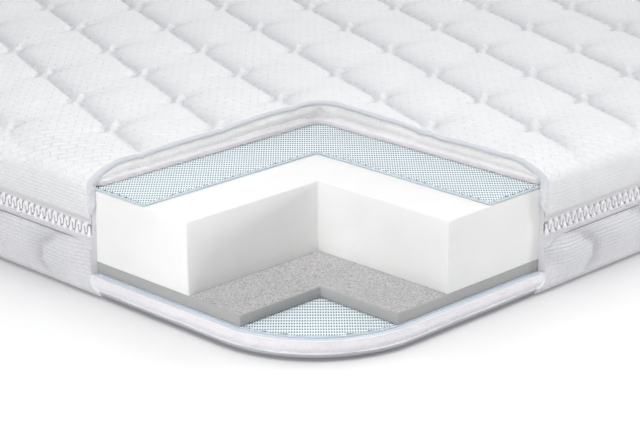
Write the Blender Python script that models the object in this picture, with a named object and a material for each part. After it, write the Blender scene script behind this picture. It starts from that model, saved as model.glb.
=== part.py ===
"""A foam mattress with a quilted two-part cover, one corner cut away to show its layers.

Metres, +Z up. The origin is on the floor, under the middle of the mattress. X runs along the length,
Y across the width. The cutaway is at the corner with the lowest X and the lowest Y.
"""

import math

import bmesh
import bpy
from mathutils import Vector

# ---- Driving dimensions -------------------------------------------------------------------------
LENGTH = 2.000
WIDTH = 1.400
CORNER_RADIUS = 0.150
GAP = 0.0003                    # between pieces that rest on each other
CORNER_STEPS = 8                # straight stretches in a quarter round

SIDE_BUILD_UP = 0.0145          # cover thickness outside the foam, on every side
SKIN = 0.004                    # knitted fabric of the border
BOTTOM_SKIN = 0.008             # quilted knit under the mattress
BOTTOM_WADDING = 0.0122
BOTTOM_LINING = 0.0010
SPACER_MESH = 0.0024
SUPPORT_LAYER = 0.0134
FOAM_CORE = 0.0870
TOP_LINING = 0.0090
TOP_WADDING = 0.0157
TOP_SKIN = 0.0062

SHOULDER_REACH = 0.069          # how far in the top starts to fall towards the side
SHOULDER_DROP = 0.024
SHOULDER_STEPS = 5

# The square bites of the cutaway, measured from the foam's corner along X and Y.
SUPPORT_BITE = (0.125, 0.119)
CORE_BITE = (0.207, 0.203)
MESH_BITE = (0.278, 0.2755)
LINING_BITE = (0.365, 0.358)
COVER_BITE = (0.367, 0.360)
COVER_BITE_RADIUS = 0.034
WADDING_BITE_RADIUS = 0.026

# The zip that joins the two halves of the cover.
ZIP_HEIGHT = 0.078              # of its centre line
ZIP_DEPTH = 0.0090              # of the tape's middle, in from the cover's outer face
TAPE_THICKNESS = 0.0010
TAPE_LAP = 0.010                # tape sewn behind the border
ZIP_OPENING = 0.0155            # half of the height between the two borders
TEETH_REACH = 0.0095            # from the centre line to the outer edge of a row
TEETH_THICKNESS = 0.0054
ROW_GAP = 0.0020                # between the two rows
END_TAB_X = 0.820               # the patch over the two ends of the zip, on the front side
END_TAB_LENGTH = 0.030
END_TAB_THICKNESS = 0.0012
STOP_LENGTH = 0.005

SLIDER_X = 0.784
SLIDER_LENGTH = 0.030
PLATE = 0.0014
SLIDER_CLEARANCE = 0.0004
SLIDER_REACH = 0.0122           # half height of the slider's plates
FLANGE = 0.0014
SLIDER_WEB = 0.0012
BRIDGE_HALF = 0.0060
BRIDGE_LEG = 0.0014
BRIDGE_WIDTH = 0.0040
BRIDGE_RISE = 0.0029
BRIDGE_BAR = 0.0012

PULL_THICKNESS = 0.0014
PULL_HALF_WIDTH = 0.0060
PULL_NECK = 0.0050
PULL_WINDOW = 0.0026
PULL_WINDOW_END = 0.0130
PULL_BAR = 0.0008
PULL_LENGTH = 0.0420

# ---- Heights and depths that follow from them ---------------------------------------------------
WADDING_FLOOR = BOTTOM_SKIN + GAP
BOTTOM_LINING_FLOOR = WADDING_FLOOR + BOTTOM_WADDING + GAP
LOWER_MESH_FLOOR = BOTTOM_LINING_FLOOR + BOTTOM_LINING + GAP
SUPPORT_FLOOR = LOWER_MESH_FLOOR + SPACER_MESH + GAP
CORE_FLOOR = SUPPORT_FLOOR + SUPPORT_LAYER + GAP
UPPER_MESH_FLOOR = CORE_FLOOR + FOAM_CORE + GAP
TOP_LINING_FLOOR = UPPER_MESH_FLOOR + SPACER_MESH + GAP
TOP_WADDING_FLOOR = TOP_LINING_FLOOR + TOP_LINING + GAP
TOP_SKIN_FLOOR = TOP_WADDING_FLOOR + TOP_WADDING + GAP
HEIGHT = TOP_SKIN_FLOOR + TOP_SKIN

LOWER_BORDER_TOP = ZIP_HEIGHT - ZIP_OPENING
UPPER_BORDER_FLOOR = ZIP_HEIGHT + ZIP_OPENING
TEETH_OUTER = ZIP_DEPTH - TEETH_THICKNESS / 2
TEETH_INNER = ZIP_DEPTH + TEETH_THICKNESS / 2
TAPE_OUTER = ZIP_DEPTH - TAPE_THICKNESS / 2
TAPE_INNER = ZIP_DEPTH + TAPE_THICKNESS / 2
PLATE_FACE = TEETH_OUTER - SLIDER_CLEARANCE - PLATE      # depth of the slider's outer face
FRONT_Y = -WIDTH / 2
PULL_AXIS_DEPTH = PLATE_FACE - BRIDGE_RISE / 2
PAST = 0.05                     # how far a cutter runs past what it cuts

WHITE_KNIT = (0.86, 0.87, 0.89, 1.0)
FIBRE_WHITE = (0.90, 0.88, 0.90, 1.0)
MESH_BLUE = (0.70, 0.80, 0.86, 1.0)
FOAM_WHITE = (0.93, 0.93, 0.92, 1.0)
FELT_GREY = (0.50, 0.49, 0.48, 1.0)
ZIP_WHITE = (0.84, 0.83, 0.86, 1.0)
METAL = (0.62, 0.63, 0.65, 1.0)


# ---- Small modelling tools ----------------------------------------------------------------------
def clear_scene():
    for existing in list(bpy.data.objects):
        bpy.data.objects.remove(existing, do_unlink=True)


def new_collection(name):
    made = bpy.data.collections.new(name)
    bpy.context.scene.collection.children.link(made)
    return made


def material(name, colour, roughness=0.9, metallic=0.0):
    made = bpy.data.materials.get(name)
    if made is None:
        made = bpy.data.materials.new(name)
        made.use_nodes = True
        shader = made.node_tree.nodes["Principled BSDF"]
        shader.inputs["Base Color"].default_value = colour
        shader.inputs["Roughness"].default_value = roughness
        shader.inputs["Metallic"].default_value = metallic
    return made


def add_object(name, data, collection, finish=None):
    made = bpy.data.objects.new(name, data)
    collection.objects.link(made)
    if finish is not None:
        data.materials.append(finish)
    return made


def rounded_plan(inset):
    """The mattress's plan, counterclockwise, drawn in by inset on every side."""
    half_x = LENGTH / 2 - inset
    half_y = WIDTH / 2 - inset
    radius = CORNER_RADIUS - inset
    points = []
    for quarter, (side_x, side_y) in enumerate(((1, 1), (-1, 1), (-1, -1), (1, -1))):
        centre = Vector((side_x * (half_x - radius), side_y * (half_y - radius)))
        for step in range(CORNER_STEPS + 1):
            angle = math.radians(90 * (quarter + step / CORNER_STEPS))
            points.append(centre + radius * Vector((math.cos(angle), math.sin(angle))))
    return points


def bitten_plan(inset, bite):
    """The same plan with a square bite in place of the corner at the lowest X and Y."""
    corner = Vector((-LENGTH / 2 + SIDE_BUILD_UP, -WIDTH / 2 + SIDE_BUILD_UP))
    inner = corner + Vector(bite)
    points = rounded_plan(inset)
    first = 2 * (CORNER_STEPS + 1)
    edge = Vector((-LENGTH / 2 + inset, -WIDTH / 2 + inset))
    notch = [Vector((edge.x, inner.y)), inner, Vector((inner.x, edge.y))]
    return points[:first] + notch + points[first + CORNER_STEPS + 1:]


def flat_layer(name, outline, floor, thickness, collection, finish):
    """A sheet or slab of even thickness, lying flat."""
    curve = bpy.data.curves.new(name, "CURVE")
    curve.dimensions = "2D"
    curve.fill_mode = "BOTH"
    curve.extrude = thickness / 2
    spline = curve.splines.new("POLY")
    spline.points.add(len(outline) - 1)
    for point, place in zip(spline.points, outline):
        point.co = (place.x, place.y, 0, 1)
    spline.use_cyclic_u = True
    made = add_object(name, curve, collection, finish)
    made.location.z = floor + thickness / 2
    return made


def loft(name, profile, collection, finish, closed=False):
    """Rings of the plan at each (inset, height) of the profile, joined in order.

    An open profile is capped at its two ends, and a closed one makes a band round the mattress.
    """
    form = bmesh.new()
    rings = [[form.verts.new((p.x, p.y, height)) for p in rounded_plan(inset)] for inset, height in profile]
    pairs = list(zip(rings, rings[1:]))
    if closed:
        pairs.append((rings[-1], rings[0]))
    else:
        form.faces.new(rings[0])
        form.faces.new(rings[-1])
    for above, below in pairs:
        for i in range(len(above)):
            j = (i + 1) % len(above)
            form.faces.new((above[i], above[j], below[j], below[i]))
    bmesh.ops.recalc_face_normals(form, faces=form.faces)
    mesh = bpy.data.meshes.new(name)
    form.to_mesh(mesh)
    form.free()
    return add_object(name, mesh, collection, finish)


def box(name, low, high, collection, finish=None):
    form = bmesh.new()
    bmesh.ops.create_cube(form, size=1.0)
    size = Vector(high) - Vector(low)
    bmesh.ops.scale(form, vec=size, verts=form.verts)
    bmesh.ops.translate(form, vec=(Vector(high) + Vector(low)) / 2, verts=form.verts)
    mesh = bpy.data.meshes.new(name)
    form.to_mesh(mesh)
    form.free()
    return add_object(name, mesh, collection, finish)


def cutter(name, low, high, cutters, round_edge=0.0):
    """A box that cuts. Its vertical edge at the highest X and Y can be rounded."""
    made = box(name, low, high, cutters)
    if round_edge:
        form = bmesh.new()
        form.from_mesh(made.data)
        edge = [e for e in form.edges if all(abs(v.co.x - high[0]) < 1e-6 and abs(v.co.y - high[1]) < 1e-6
                                             for v in e.verts)]
        bmesh.ops.bevel(form, geom=edge, offset=round_edge, segments=6, profile=0.5, affect="EDGES")
        form.to_mesh(made.data)
        form.free()
    made.hide_render = True
    made.display_type = "WIRE"
    return made


def combine(target, other, operation="DIFFERENCE"):
    modifier = target.modifiers.new(other.name, "BOOLEAN")
    modifier.operation = operation
    modifier.object = other


def shoulder(reach, drop, inset, height):
    """(inset, height) pairs down the mattress's top edge, from the flat top to the upright side."""
    pairs = []
    for step in range(SHOULDER_STEPS + 1):
        angle = math.radians(90 * step / SHOULDER_STEPS)
        pairs.append((inset + reach * (1 - math.sin(angle)), height - drop * (1 - math.cos(angle))))
    return pairs


# ---- The foam and the sheets on it --------------------------------------------------------------
def add_core(parts):
    foam = material("foam", FOAM_WHITE)
    mesh = material("spacer_mesh", MESH_BLUE)
    felt = material("support_felt", FELT_GREY)
    plain = rounded_plan(SIDE_BUILD_UP)
    flat_layer("lower_spacer_mesh", plain, LOWER_MESH_FLOOR, SPACER_MESH, parts, mesh)
    support_plan = bitten_plan(SIDE_BUILD_UP, SUPPORT_BITE)
    flat_layer("support_layer", support_plan, SUPPORT_FLOOR, SUPPORT_LAYER, parts, felt)
    core_plan = bitten_plan(SIDE_BUILD_UP, CORE_BITE)
    flat_layer("foam_core", core_plan, CORE_FLOOR, FOAM_CORE, parts, foam)
    mesh_plan = bitten_plan(SIDE_BUILD_UP, MESH_BITE)
    flat_layer("upper_spacer_mesh", mesh_plan, UPPER_MESH_FLOOR, SPACER_MESH, parts, mesh)


# ---- The top half of the cover ------------------------------------------------------------------
def add_top_cover(parts, cutters):
    fibre = material("fibre", FIBRE_WHITE)
    knit = material("knit", WHITE_KNIT)
    corner = Vector((-LENGTH / 2 + SIDE_BUILD_UP, -WIDTH / 2 + SIDE_BUILD_UP))
    outside = (-LENGTH / 2 - PAST, -WIDTH / 2 - PAST)
    inner = corner + Vector(COVER_BITE)

    lining_inset = SIDE_BUILD_UP + GAP
    flat_layer("top_cover_lining", bitten_plan(lining_inset, LINING_BITE), TOP_LINING_FLOOR, TOP_LINING, parts, fibre)

    wadding_outer = shoulder(SHOULDER_REACH - SKIN, SHOULDER_DROP - GAP, SKIN + GAP, TOP_SKIN_FLOOR - GAP)
    skirt_floor = UPPER_BORDER_FLOOR + TAPE_LAP + 2 * GAP
    wadding_inner = [(SIDE_BUILD_UP - GAP, skirt_floor), (SIDE_BUILD_UP - GAP, TOP_WADDING_FLOOR)]
    wadding = loft("top_cover_wadding", wadding_outer + [(SKIN + GAP, skirt_floor)] + wadding_inner, parts, fibre)
    wadding_cut = cutter("wadding_cut", (*outside, 0), (inner.x, inner.y, HEIGHT + PAST), cutters, WADDING_BITE_RADIUS)
    combine(wadding, wadding_cut)

    skin_outer = shoulder(SHOULDER_REACH, SHOULDER_DROP, 0.0, HEIGHT) + [(0.0, UPPER_BORDER_FLOOR)]
    skin_inner = shoulder(SHOULDER_REACH - SKIN, SHOULDER_DROP, SKIN, TOP_SKIN_FLOOR)
    skin = loft("top_cover_fabric", skin_outer + [(SKIN, UPPER_BORDER_FLOOR)] + skin_inner[::-1], parts, knit)
    skin_cut = cutter("skin_cut", (*outside, 0), (inner.x, inner.y, HEIGHT + PAST), cutters, COVER_BITE_RADIUS)
    combine(skin, skin_cut)


# ---- The bottom half of the cover ---------------------------------------------------------------
def add_bottom_cover(parts, cutters):
    fibre = material("fibre", FIBRE_WHITE)
    knit = material("knit", WHITE_KNIT)
    corner = Vector((-LENGTH / 2 + SIDE_BUILD_UP, -WIDTH / 2 + SIDE_BUILD_UP))
    outside = (-LENGTH / 2 - PAST, -WIDTH / 2 - PAST)
    inner = corner + Vector(COVER_BITE)

    lining_plan = rounded_plan(SIDE_BUILD_UP)
    flat_layer("bottom_cover_lining", lining_plan, BOTTOM_LINING_FLOOR, BOTTOM_LINING, parts, fibre)

    wadding_top = WADDING_FLOOR + BOTTOM_WADDING
    skirt_top = LOWER_BORDER_TOP - TAPE_LAP - 2 * GAP
    wadding = loft("bottom_cover_wadding", [(SIDE_BUILD_UP - GAP, wadding_top), (SIDE_BUILD_UP - GAP, skirt_top),
                                            (SKIN + GAP, skirt_top), (SKIN + GAP, WADDING_FLOOR)], parts, fibre)
    wadding_cut = cutter("low_wadding_cut", (*outside, wadding_top), (inner.x, inner.y, HEIGHT), cutters)
    combine(wadding, wadding_cut)

    skin = loft("bottom_cover_fabric", [(SKIN, BOTTOM_SKIN), (SKIN, LOWER_BORDER_TOP), (0.0, LOWER_BORDER_TOP),
                                        (0.0, BOTTOM_SKIN / 2), (BOTTOM_SKIN / 4, BOTTOM_SKIN / 8),
                                        (BOTTOM_SKIN / 2, 0.0)], parts, knit)
    skin_cut = cutter("low_skin_cut", (*outside, BOTTOM_SKIN), (inner.x, inner.y, HEIGHT), cutters)
    combine(skin, skin_cut)


# ---- The zip ------------------------------------------------------------------------------------
def add_zip_rows(parts, cutters):
    """The two tapes and the two rows of teeth.

    The cutaway parts each of them into a straight run along the front and a run round the other sides.
    """
    tape = material("zip_tape", ZIP_WHITE)
    teeth = material("zip_teeth", ZIP_WHITE, roughness=0.45)
    corner = Vector((-LENGTH / 2 + SIDE_BUILD_UP, -WIDTH / 2 + SIDE_BUILD_UP))
    inner = corner + Vector(COVER_BITE)
    bite = cutter("zip_cut", (-LENGTH / 2 - PAST, FRONT_Y - PAST, 0), (inner.x, inner.y, HEIGHT), cutters)
    tape_end = END_TAB_X - GAP / 2
    tape_start = END_TAB_X + GAP / 2
    stop_room = END_TAB_LENGTH / 2 + STOP_LENGTH + 2 * GAP
    tape_cut = cutter("tape_front_cut", (inner.x - PAST, FRONT_Y - PAST, 0), (tape_start, FRONT_Y + PAST, HEIGHT),
                      cutters)
    teeth_cut = cutter("teeth_front_cut", (inner.x - PAST, FRONT_Y - PAST, 0),
                       (END_TAB_X + stop_room, FRONT_Y + PAST, HEIGHT), cutters)
    for side, name in ((1, "upper"), (-1, "lower")):
        near = ZIP_HEIGHT + side * ROW_GAP / 2
        edge = ZIP_HEIGHT + side * TEETH_REACH
        start = edge + side * GAP
        far = ZIP_HEIGHT + side * (ZIP_OPENING + TAPE_LAP)
        rows = (("teeth", TEETH_OUTER, TEETH_INNER, near, edge, END_TAB_X - stop_room, teeth_cut, teeth),
                ("tape", TAPE_OUTER, TAPE_INNER, start, far, tape_end, tape_cut, tape))
        for kind, outer, inside, first, last, end, front_cut, finish in rows:
            low, high = sorted((first, last))
            box(f"{name}_front_{kind}", (inner.x, FRONT_Y + outer, low), (end, FRONT_Y + inside, high), parts, finish)
            band = [(outer, first), (outer, last), (inside, last), (inside, first)]
            around = loft(f"{name}_round_{kind}", band, parts, finish, closed=True)
            combine(around, bite)
            combine(around, front_cut)


def add_zip_ends(parts):
    """The patch over the two ends of the tapes, and the stops at the ends of the teeth."""
    tape = material("zip_tape", ZIP_WHITE)
    teeth = material("zip_teeth", ZIP_WHITE, roughness=0.45)
    half = END_TAB_LENGTH / 2
    patch_depth = TEETH_OUTER - GAP - END_TAB_THICKNESS
    reach = ZIP_OPENING - GAP
    box("zip_end_patch", (END_TAB_X - half, FRONT_Y + patch_depth, ZIP_HEIGHT - reach),
        (END_TAB_X + half, FRONT_Y + patch_depth + END_TAB_THICKNESS, ZIP_HEIGHT + reach), parts, tape)
    stop_high = END_TAB_X - half - GAP
    for side, name in ((1, "upper"), (-1, "lower")):
        heights = sorted((ZIP_HEIGHT + side * ROW_GAP / 2, ZIP_HEIGHT + side * TEETH_REACH))
        box(f"{name}_end_stop", (stop_high - STOP_LENGTH, FRONT_Y + TEETH_OUTER, heights[0]),
            (stop_high, FRONT_Y + TEETH_INNER, heights[1]), parts, teeth)
    start_low = END_TAB_X + half + GAP
    box("start_stop", (start_low, FRONT_Y + TEETH_OUTER, ZIP_HEIGHT - TEETH_REACH),
        (start_low + STOP_LENGTH, FRONT_Y + TEETH_INNER, ZIP_HEIGHT + TEETH_REACH), parts, teeth)


def slider_section():
    """The slider seen from its end: two plates on a thin web, their flanges closing on the tapes.

    Pairs are (depth from the cover's face, height from the zip's centre line), one way round.
    """
    plate_in = TEETH_OUTER - SLIDER_CLEARANCE
    back_out = TEETH_INNER + SLIDER_CLEARANCE
    back_face = back_out + PLATE
    tape_out = TAPE_OUTER - SLIDER_CLEARANCE
    tape_in = TAPE_INNER + SLIDER_CLEARANCE
    rim = SLIDER_REACH - FLANGE
    upper_right = [(plate_in, SLIDER_WEB / 2), (plate_in, rim), (tape_out, rim), (tape_out, SLIDER_REACH),
                   (PLATE_FACE, SLIDER_REACH)]
    upper_left = [(back_face, SLIDER_REACH), (tape_in, SLIDER_REACH), (tape_in, rim), (back_out, rim),
                  (back_out, SLIDER_WEB / 2)]
    top = upper_left + upper_right
    return top + [(depth, -height) for depth, height in top[::-1]]


def prism(name, outline, axis, middle, length, collection, finish=None):
    """An outline extruded along a world axis: pairs are the other two coordinates in X, Y, Z order."""
    form = bmesh.new()
    corners = []
    for first, second in outline:
        place = {"X": (middle - length / 2, first, second), "Y": (first, middle - length / 2, second),
                 "Z": (first, second, middle - length / 2)}[axis]
        corners.append(form.verts.new(place))
    face = form.faces.new(corners)
    swept = bmesh.ops.extrude_face_region(form, geom=[face])
    shift = {"X": (length, 0, 0), "Y": (0, length, 0), "Z": (0, 0, length)}[axis]
    moved = [item for item in swept["geom"] if isinstance(item, bmesh.types.BMVert)]
    bmesh.ops.translate(form, vec=shift, verts=moved)
    bmesh.ops.recalc_face_normals(form, faces=form.faces)
    mesh = bpy.data.meshes.new(name)
    form.to_mesh(mesh)
    form.free()
    return add_object(name, mesh, collection, finish)


def add_slider(parts, cutters):
    metal = material("zip_metal", METAL, roughness=0.35, metallic=1.0)
    section = [(FRONT_Y + depth, ZIP_HEIGHT + height) for depth, height in slider_section()]
    body = prism("zip_slider", section, "X", SLIDER_X, SLIDER_LENGTH, parts, metal)
    face = FRONT_Y + PLATE_FACE
    sunk = face + PLATE / 2
    crest = face - BRIDGE_RISE - BRIDGE_BAR
    inside = face - BRIDGE_RISE
    outer, inner = BRIDGE_HALF, BRIDGE_HALF - BRIDGE_LEG
    arch = [(-outer, sunk), (-outer, crest), (outer, crest), (outer, sunk), (inner, sunk), (inner, inside),
            (-inner, inside), (-inner, sunk)]
    bridge = prism("bridge_shape", [(SLIDER_X + x, y) for x, y in arch], "Z", ZIP_HEIGHT, BRIDGE_WIDTH, cutters)
    bridge.hide_render = True
    bridge.display_type = "WIRE"
    combine(body, bridge, "UNION")


def add_pull(parts, cutters):
    """The pull tab lies along the zip. Its end bar turns under the slider's bridge, about a vertical axis."""
    metal = material("zip_metal", METAL, roughness=0.35, metallic=1.0)
    axis_y = FRONT_Y + PULL_AXIS_DEPTH
    tip, neck, wide = PULL_LENGTH, PULL_WINDOW_END + PULL_BAR, PULL_HALF_WIDTH
    tip_round = [(tip - wide + wide * math.cos(a), wide * math.sin(a))
                 for a in (math.radians(-90 + 180 * i / 8) for i in range(9))]
    outline = [(-PULL_BAR, -PULL_NECK), (neck, -PULL_NECK), *tip_round, (neck, PULL_NECK), (-PULL_BAR, PULL_NECK)]
    placed = [(SLIDER_X - s, ZIP_HEIGHT + z) for s, z in outline]
    tab = prism("zip_pull", placed, "Y", axis_y, PULL_THICKNESS, parts, metal)
    window = cutter("pull_window", (SLIDER_X - PULL_WINDOW_END, axis_y - PAST, ZIP_HEIGHT - PULL_WINDOW),
                    (SLIDER_X - PULL_BAR, axis_y + PAST, ZIP_HEIGHT + PULL_WINDOW), cutters)
    combine(tab, window)


def main():
    clear_scene()
    parts = new_collection("foam_mattress")
    cutters = new_collection("cutters")
    add_core(parts)
    add_top_cover(parts, cutters)
    add_bottom_cover(parts, cutters)
    add_zip_rows(parts, cutters)
    add_zip_ends(parts)
    add_slider(parts, cutters)
    add_pull(parts, cutters)


main()
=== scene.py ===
"""Looks for the foam mattress: quilted knit covers, foam, felt, spacer mesh, wadding and the zip.

Metres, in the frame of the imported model. X runs along the mattress, Y across it. The cutaway is at the corner
with the lowest X and Y.
"""

import math

import bmesh
import bpy
import numpy as np
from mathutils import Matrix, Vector
from mathutils.geometry import delaunay_2d_cdt


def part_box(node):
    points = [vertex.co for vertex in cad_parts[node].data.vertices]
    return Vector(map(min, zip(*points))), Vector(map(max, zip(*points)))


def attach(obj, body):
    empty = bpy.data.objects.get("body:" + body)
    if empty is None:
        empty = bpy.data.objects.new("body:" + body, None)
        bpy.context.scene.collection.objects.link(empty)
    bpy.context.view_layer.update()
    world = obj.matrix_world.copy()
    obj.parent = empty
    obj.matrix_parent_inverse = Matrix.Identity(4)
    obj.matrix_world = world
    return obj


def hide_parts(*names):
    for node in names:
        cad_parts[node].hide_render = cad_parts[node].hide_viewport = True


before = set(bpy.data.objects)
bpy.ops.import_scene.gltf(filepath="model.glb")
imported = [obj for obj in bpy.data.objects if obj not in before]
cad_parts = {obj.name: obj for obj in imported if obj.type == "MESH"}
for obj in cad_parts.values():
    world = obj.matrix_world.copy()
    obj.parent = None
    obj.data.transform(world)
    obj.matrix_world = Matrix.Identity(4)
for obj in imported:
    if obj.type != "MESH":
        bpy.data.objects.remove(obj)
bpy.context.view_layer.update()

# ---- Sizes, from the frame and the design --------------------------------------------------------
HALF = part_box("top_cover_fabric")[1].xy
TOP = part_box("top_cover_fabric")[1].z
SKIN_FLOOR = TOP - 0.0062                                # under the quilted knit
CORNER_RADIUS = 0.150
INNER = HALF - Vector((CORNER_RADIUS, CORNER_RADIUS))    # centre of a plan corner
FOAM_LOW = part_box("foam_core")[0]
CUT = FOAM_LOW.xy + Vector((0.367, 0.360))               # inner corner of the covers' cut
LINING_CUT = FOAM_LOW.xy + Vector((0.365, 0.358))
MESH_CUT = FOAM_LOW.xy + Vector((0.278, 0.2755))
CORE_CUT = FOAM_LOW.xy + Vector((0.207, 0.203))
SUPPORT_CUT = FOAM_LOW.xy + Vector((0.125, 0.119))
CUT_RADIUS = 0.034
SIDE_BUILD_UP = FOAM_LOW.x + HALF.x                      # from the covers' outer face to the foam
BORDER_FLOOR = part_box("top_cover_fabric")[0].z           # lower edge of the upper border
BORDER_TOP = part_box("bottom_cover_fabric")[1].z          # upper edge of the lower border
ZIP_HEIGHT = (BORDER_FLOOR + BORDER_TOP) / 2
BASE_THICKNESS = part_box("bottom_cover_wadding")[0].z     # of the quilted knit underneath

# ---- Quilting: stitched S curves in slanting rows --------------------------------------------------
STITCH_ANGLE = math.radians(21)         # of the rows, from the mattress's width
STITCH_PITCH = 0.133                    # along a row
ROW_PITCH = 0.1167                      # from row to row
ROW_SHIFT = 0.0525                      # of one row against the last
STITCH_START = Vector((-0.619, 0.118))  # middle of one S
STITCH_HALF = 0.074
HOOK_START = 0.044                      # where the straight middle of the S ends
HOOK = 0.015                            # how far an end of the S turns aside
GROOVE = 0.0030
GROOVE_WIDTH = 0.0048
PUFF = 0.0052
PUFF_REACH = 0.026
PUFF_RISE = 0.0022
LOBE_PITCH = 0.112                      # of the curves on the lower border
LOBE_BULGE = 0.040
LOBE_START = 0.050                      # of the first curve's ends, from the cut
LAP = 0.016                             # how far the lower border's cut curves over the base's edge


# ---- Small tools -----------------------------------------------------------------------------------
def ripple(points, length, seed, waves=8):
    """Smooth waviness between about -1 and 1, with bumps about one length apart. The seed fixes it."""
    chance = np.random.default_rng(seed)
    total = np.zeros(len(points))
    for _ in range(waves):
        direction = chance.normal(size=points.shape[1])
        direction *= 2 * math.pi / (length * np.linalg.norm(direction)) * chance.uniform(0.6, 1.5)
        total += np.sin(points @ direction + chance.uniform(0, 2 * math.pi))
    return total * (1.8 / waves)


def smoothstep(low, high, values):
    t = np.clip((values - low) / (high - low), 0, 1)
    return t * t * (3 - 2 * t)


def lines(*stops):
    """Values from the first stop to the last. Each stop is (value, greatest spacing up to the next)."""
    values = [stops[0][0]]
    for (start, spacing), (end, _) in zip(stops, stops[1:]):
        count = max(1, math.ceil((end - start) / spacing))
        values += [start + (end - start) * k / count for k in range(1, count + 1)]
    return values


def link(name, data):
    made = bpy.data.objects.new(name, data)
    bpy.context.scene.collection.objects.link(made)
    return made


def add_piece(name, points, faces, materials, face_materials=None, smooth=True):
    mesh = bpy.data.meshes.new(name)
    mesh.from_pydata([tuple(p) for p in points], [], [tuple(int(i) for i in f) for f in faces])
    for finish in materials:
        mesh.materials.append(finish)
    if face_materials is not None:
        mesh.polygons.foreach_set("material_index", np.asarray(face_materials, np.int32))
    mesh.polygons.foreach_set("use_smooth", np.full(len(faces), smooth))
    mesh.update()
    return link(name, mesh)


def add_uv(piece, name, per_point):
    corners = np.empty(len(piece.data.loops), np.int32)
    piece.data.loops.foreach_get("vertex_index", corners)
    layer = piece.data.uv_layers.new(name=name)
    layer.data.foreach_set("uv", np.asarray(per_point, np.float32)[corners].ravel())


def add_values(piece, name, per_point):
    layer = piece.data.attributes.new(name, "FLOAT", "POINT")
    layer.data.foreach_set("value", np.asarray(per_point, np.float32))


def band_faces(first, second, closed):
    """Quads between two rows of point numbers."""
    size = len(first)
    return [(first[i], first[(i + 1) % size], second[(i + 1) % size], second[i])
            for i in range(size if closed else size - 1)]


def seat(piece, nodes, body="mattress"):
    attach(piece, body)
    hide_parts(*nodes)
    return piece


# ---- Material tools --------------------------------------------------------------------------------
class Finish:
    """A Principled material and the nodes that feed it."""

    def __init__(self, name, roughness, sheen=0.0, metallic=0.0, specular=0.3):
        self.material = bpy.data.materials.new(name)
        self.material.use_nodes = True
        self.tree = self.material.node_tree
        self.shader = self.tree.nodes["Principled BSDF"]
        self.shader.inputs["Roughness"].default_value = roughness
        self.shader.inputs["Metallic"].default_value = metallic
        self.shader.inputs["Specular IOR Level"].default_value = specular
        self.shader.inputs["Sheen Weight"].default_value = sheen

    def set(self, socket, value):
        if isinstance(value, bpy.types.NodeSocket):
            self.tree.links.new(value, socket)
        elif isinstance(value, tuple) and len(value) == 3 and socket.type == "RGBA":
            socket.default_value = (*value, 1.0)
        else:
            socket.default_value = value

    def node(self, kind, inputs, output=0, **settings):
        made = self.tree.nodes.new("ShaderNode" + kind)
        for key, value in settings.items():
            setattr(made, key, value)
        for key, value in inputs.items():
            self.set(made.inputs[key], value)
        return made.outputs[output]

    def add(self, first, second, clamp=False):
        return self.node("Math", {0: first, 1: second}, operation="ADD", use_clamp=clamp)

    def times(self, first, second):
        return self.node("Math", {0: first, 1: second}, operation="MULTIPLY")

    def mix(self, factor, first, second):
        return self.node("Mix", {0: factor, 6: first, 7: second}, output=2, data_type="RGBA")

    def span(self, value, low, high, to_low=0.0, to_high=1.0):
        return self.node("MapRange", {"Value": value, 1: low, 2: high, 3: to_low, 4: to_high})

    def place(self):
        return self.node("TexCoord", {}, output="Object")

    def cloth(self, layer, turn=0.0):
        flat = self.node("UVMap", {}, uv_map=layer)
        return self.node("Mapping", {"Vector": flat, "Rotation": (0.0, 0.0, turn)})

    def noise(self, where, size, detail=3.0, roughness=0.55):
        """size is that of one blotch, in metres."""
        return self.node("TexNoise", {"Vector": where, "Scale": 1 / size, "Detail": detail,
                                      "Roughness": roughness})

    def rows(self, where, length, height, joint, smooth=0.6):
        """Staggered rows of short stitches: 1 in the lines between them."""
        return self.node("TexBrick", {"Vector": where, "Scale": 1.0, "Mortar Size": joint,
                                      "Mortar Smooth": smooth, "Brick Width": length, "Row Height": height},
                         output="Fac")

    def value(self, name):
        return self.node("Attribute", {}, output="Fac", attribute_name=name)

    def colour(self, value):
        self.set(self.shader.inputs["Base Color"], value)

    def blend(self, tone, first, second):
        """The colour, from the first where the tone is 0 to the second where it is 1."""
        self.colour(self.mix(tone, first, second))

    def bump(self, height, distance, strength=1.0):
        """distance is the real height of a full step, in metres. This comes last."""
        self.set(self.shader.inputs["Normal"],
                 self.node("Bump", {"Height": height, "Distance": distance, "Strength": strength}))
        return self.material


def knit_finish(name, pale, dark, painted_groove_shade):
    """Quilted double knit: slanting rows on the flat, level rows on the border, a nap, and painted shade along
    the grooves.
    """
    made = Finish(name, roughness=0.9, sheen=0.15, specular=0.2)
    cloth = made.cloth("cloth", math.radians(45))
    border = made.cloth("border")
    where = made.place()
    wander = made.noise(where, 0.030, detail=2.0)
    flat_rows = made.rows(cloth, 0.021, 0.0105, 0.0011)
    fine_rows = made.rows(cloth, 0.0052, 0.0026, 0.0004)
    side_rows = made.rows(border, 0.013, 0.0046, 0.0006)
    on_side = made.value("on_side")
    coarse = made.mix(on_side, flat_rows, side_rows)
    broken = made.times(coarse, made.span(wander, 0.38, 0.60))
    nap = made.noise(where, 0.0016, detail=4.0, roughness=0.7)
    mottle = made.noise(where, 0.012, detail=3.0)
    dusk = made.times(broken, made.mix(on_side, (0.26, 0.26, 0.26), (0.34, 0.34, 0.34)))
    dusk = made.add(dusk, made.span(mottle, 0.35, 0.75, 0.0, 0.16))
    dusk = made.add(dusk, made.times(fine_rows, 0.12))
    dusk = made.add(dusk, made.span(nap, 0.45, 0.75, 0.0, 0.20), clamp=True)
    # painted shade: the shade attribute mixes the knit towards the dark colour of the grooves along the
    # stitched curves
    made.blend(made.value("shade"), made.mix(dusk, pale, dark), painted_groove_shade)
    height = made.times(coarse, -0.55)
    height = made.add(height, made.times(fine_rows, -0.25))
    height = made.add(height, made.times(nap, 0.5))
    return made.bump(height, 0.0011)


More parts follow.
